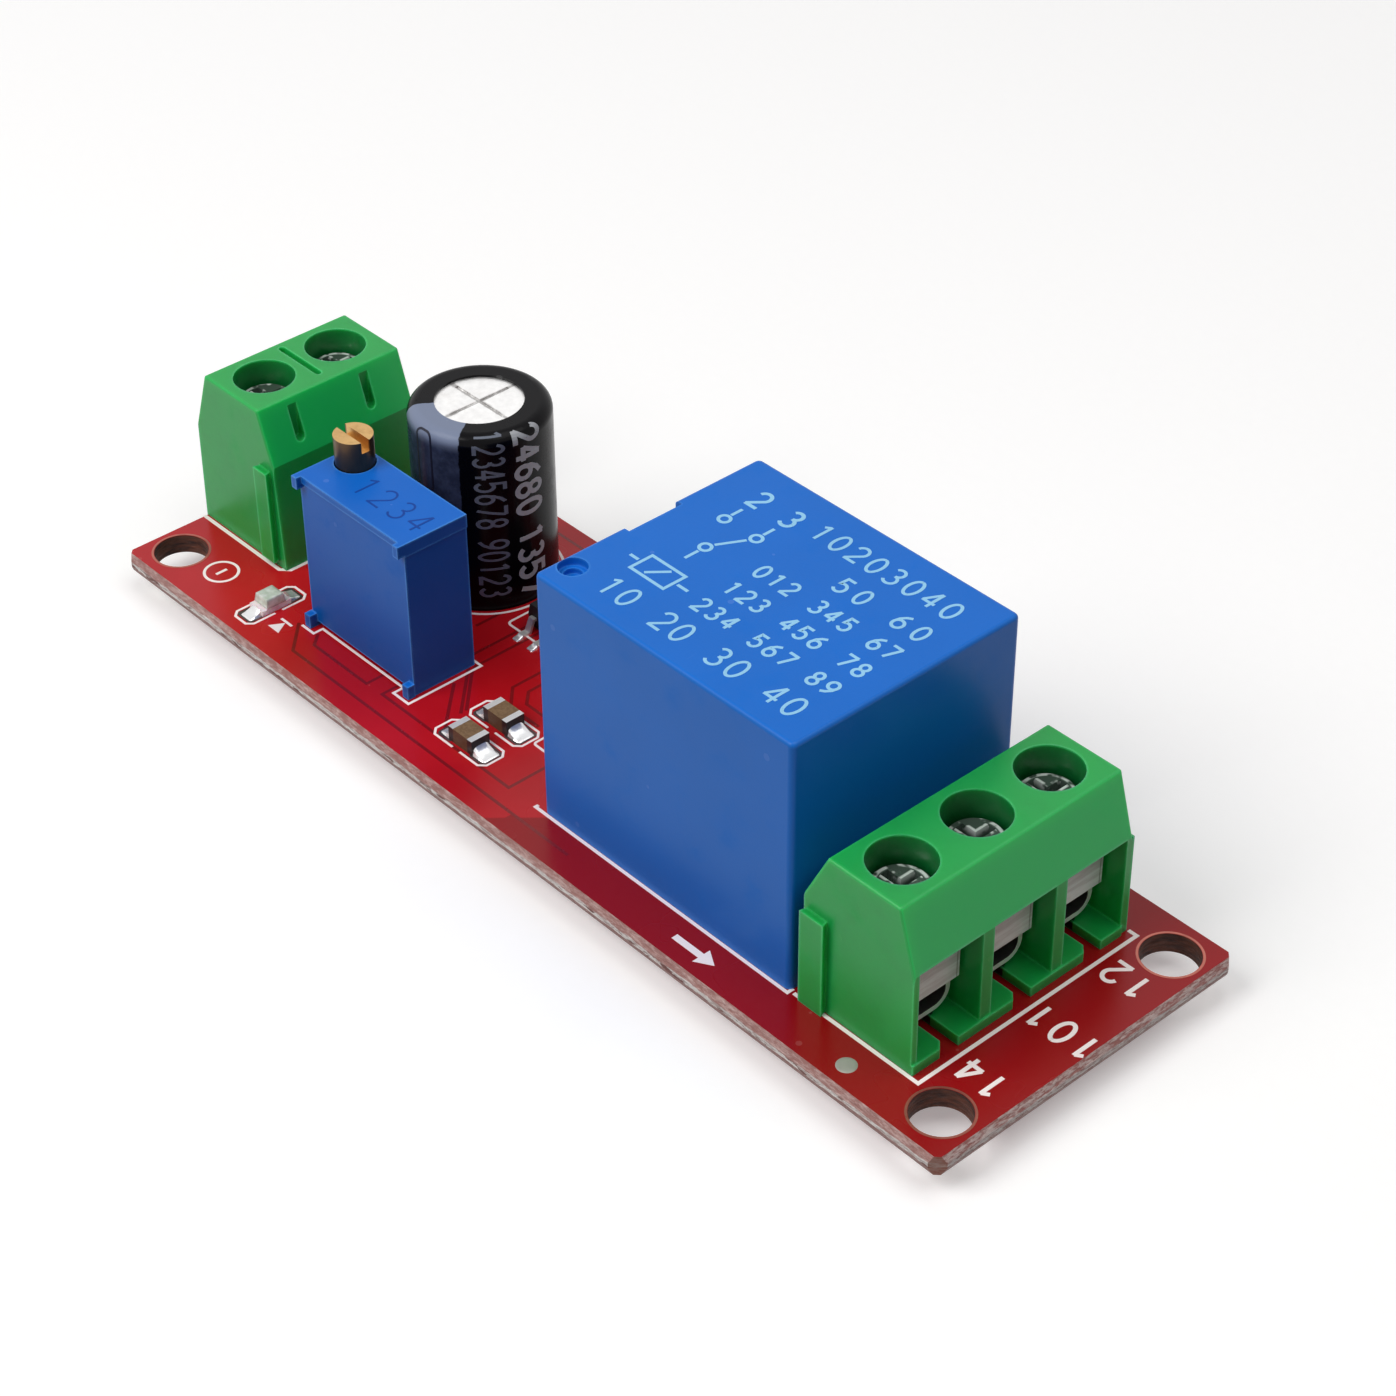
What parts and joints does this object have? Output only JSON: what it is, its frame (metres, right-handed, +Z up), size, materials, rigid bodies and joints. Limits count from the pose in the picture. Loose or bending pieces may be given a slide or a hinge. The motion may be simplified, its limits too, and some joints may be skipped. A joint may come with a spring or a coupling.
{
  "type": "relay module board",
  "caption": "Red circuit board with a sealed blue relay, green screw terminal blocks at both ends, a multi-turn trimmer and a round electrolytic capacitor.",
  "frame": {"origin": "under the middle of the board, on the level of the solder side's lead tips", "axes": "+X along the board towards the three-way output terminal block, +Y across the board towards the capacitor, +Z up through the relay"},
  "size_m": [0.067, 0.0212, 0.018],
  "materials": {
    "board_laminate": "glossy solder mask over glass-fibre laminate",
    "solder": "bright tin solder",
    "terminal_plastic": "moulded, satin",
    "plated_contact": "tin-plated, satin",
    "plated_screw": "nickel-plated, bright",
    "relay_plastic": "moulded, satin",
    "relay_base_plastic": "moulded, matt",
    "sealing_resin": "cast resin",
    "relay_iron": "zinc-plated iron",
    "bobbin_plastic": "moulded, matt",
    "coil_copper": "wound enamelled copper wire",
    "spring_metal": "rolled spring strip",
    "contact_silver": "silver alloy, satin",
    "trimmer_plastic": "moulded, satin",
    "trimmer_ceramic": "fired, matt",
    "trimmer_wheel_plastic": "moulded, matt",
    "adjuster_brass": "turned, bright",
    "capacitor_aluminium": "drawn, satin",
    "capacitor_film": "shrunk film, glossy",
    "led_plastic": "moulded, matt",
    "led_resin": "clear resin",
    "chip_ceramic": "fired, satin",
    "chip_resistor": "glazed, satin",
    "chip_moulding": "moulded, matt"
  },
  "bodies": {
    "board": {"circuit_board": "board_laminate", "solder_joints": "solder", "input_terminal_housing": "terminal_plastic", "input_terminal_contacts": "plated_contact", "output_terminal_housing": "terminal_plastic", "output_terminal_contacts": "plated_contact", "relay_cover": "relay_plastic", "relay_base": "relay_base_plastic", "relay_potting": "sealing_resin", "relay_yoke": "relay_iron", "relay_core": "relay_iron", "relay_bobbin": "bobbin_plastic", "relay_coil": "coil_copper", "relay_coil_pins": "plated_contact", "relay_common_terminal": "plated_contact", "relay_open_contact": "plated_contact", "relay_closed_contact": "plated_contact", "trimmer_housing": "trimmer_plastic", "trimmer_element": "trimmer_ceramic", "trimmer_pins": "plated_contact", "trimmer_potting": "sealing_resin", "capacitor_can": "capacitor_aluminium", "capacitor_sleeve": "capacitor_film", "capacitor_leads": "plated_contact", "led_base": "led_plastic", "led_lens": "led_resin", "chip_capacitor_bodies": "chip_ceramic", "chip_capacitor_ends": "plated_contact", "chip_resistor_bodies": "chip_resistor", "chip_resistor_ends": "plated_contact", "timer_chip_body": "chip_moulding", "timer_chip_leads": "plated_contact", "transistor_body": "chip_moulding", "transistor_leads": "plated_contact", "diode_body": "chip_moulding", "diode_leads": "plated_contact"},
    "output_screw_1": {"output_screw_1": "plated_screw"},
    "output_clamp_1": {"output_clamp_1": "plated_contact"},
    "output_screw_2": {"output_screw_2": "plated_screw"},
    "output_clamp_2": {"output_clamp_2": "plated_contact"},
    "output_screw_3": {"output_screw_3": "plated_screw"},
    "output_clamp_3": {"output_clamp_3": "plated_contact"},
    "input_screw_1": {"input_screw_1": "plated_screw"},
    "input_clamp_1": {"input_clamp_1": "plated_contact"},
    "input_screw_2": {"input_screw_2": "plated_screw"},
    "input_clamp_2": {"input_clamp_2": "plated_contact"},
    "trimmer_screw": {"trimmer_screw": "adjuster_brass"},
    "trimmer_wheel": {"trimmer_rotor": "trimmer_wheel_plastic", "trimmer_wiper": "spring_metal"},
    "armature": {"relay_armature": "relay_iron", "relay_contact_spring": "spring_metal", "relay_moving_contact": "contact_silver"}
  },
  "joints": [
    {"name": "output_screw_1_turn", "type": "hinge", "parent": "board", "child": "output_screw_1", "pos_m": [0.02495, -0.00492, 0], "axis": [0, 0, 1], "range_deg": [-1009, 109]},
    {"name": "output_clamp_1_rise", "type": "slide", "parent": "board", "child": "output_clamp_1", "axis": [0, 0, 1], "range_m": [-0.00015, 0.0014]},
    {"name": "output_screw_2_turn", "type": "hinge", "parent": "board", "child": "output_screw_2", "pos_m": [0.02495, 0.00016, 0], "axis": [0, 0, 1], "range_deg": [-1009, 109]},
    {"name": "output_clamp_2_rise", "type": "slide", "parent": "board", "child": "output_clamp_2", "axis": [0, 0, 1], "range_m": [-0.00015, 0.0014]},
    {"name": "output_screw_3_turn", "type": "hinge", "parent": "board", "child": "output_screw_3", "pos_m": [0.02495, 0.00524, 0], "axis": [0, 0, 1], "range_deg": [-1009, 109]},
    {"name": "output_clamp_3_rise", "type": "slide", "parent": "board", "child": "output_clamp_3", "axis": [0, 0, 1], "range_m": [-0.00015, 0.0014]},
    {"name": "input_screw_1_turn", "type": "hinge", "parent": "board", "child": "input_screw_1", "pos_m": [-0.0296, -0.00227, 0], "axis": [0, 0, 1], "range_deg": [-1009, 109]},
    {"name": "input_clamp_1_rise", "type": "slide", "parent": "board", "child": "input_clamp_1", "axis": [0, 0, 1], "range_m": [-0.00015, 0.0014]},
    {"name": "input_screw_2_turn", "type": "hinge", "parent": "board", "child": "input_screw_2", "pos_m": [-0.0296, 0.00281, 0], "axis": [0, 0, 1], "range_deg": [-1009, 109]},
    {"name": "input_clamp_2_rise", "type": "slide", "parent": "board", "child": "input_clamp_2", "axis": [0, 0, 1], "range_m": [-0.00015, 0.0014]},
    {"name": "trimmer_screw_turn", "type": "hinge", "parent": "board", "child": "trimmer_screw", "pos_m": [-0.01906, -0.00371, 0], "axis": [0, 0, 1], "range_deg": [-4500, 4500]},
    {"name": "trimmer_wheel_turn", "type": "hinge", "parent": "board", "child": "trimmer_wheel", "pos_m": [-0.01506, -0.00371, 0.0077], "axis": [0, 1, 0], "range_deg": [-141, 141]},
    {"name": "armature_swing", "type": "hinge", "parent": "board", "child": "armature", "pos_m": [0.0033, -0.00002, 0.01308], "axis": [0, 1, 0], "range_deg": [0, 2.5], "stiffness_Nm_per_rad": 0.005, "springref_deg": -11.46}
  ],
  "couplings": [
    {"joint": "output_screw_1_turn", "follows": "output_clamp_1_rise", "rad_per_m": -12566},
    {"joint": "output_screw_2_turn", "follows": "output_clamp_2_rise", "rad_per_m": -12566},
    {"joint": "output_screw_3_turn", "follows": "output_clamp_3_rise", "rad_per_m": -12566},
    {"joint": "input_screw_1_turn", "follows": "input_clamp_1_rise", "rad_per_m": -12566},
    {"joint": "input_screw_2_turn", "follows": "input_clamp_2_rise", "rad_per_m": -12566},
    {"joint": "trimmer_wheel_turn", "follows": "trimmer_screw_turn", "ratio": 0.03125}
  ]
}
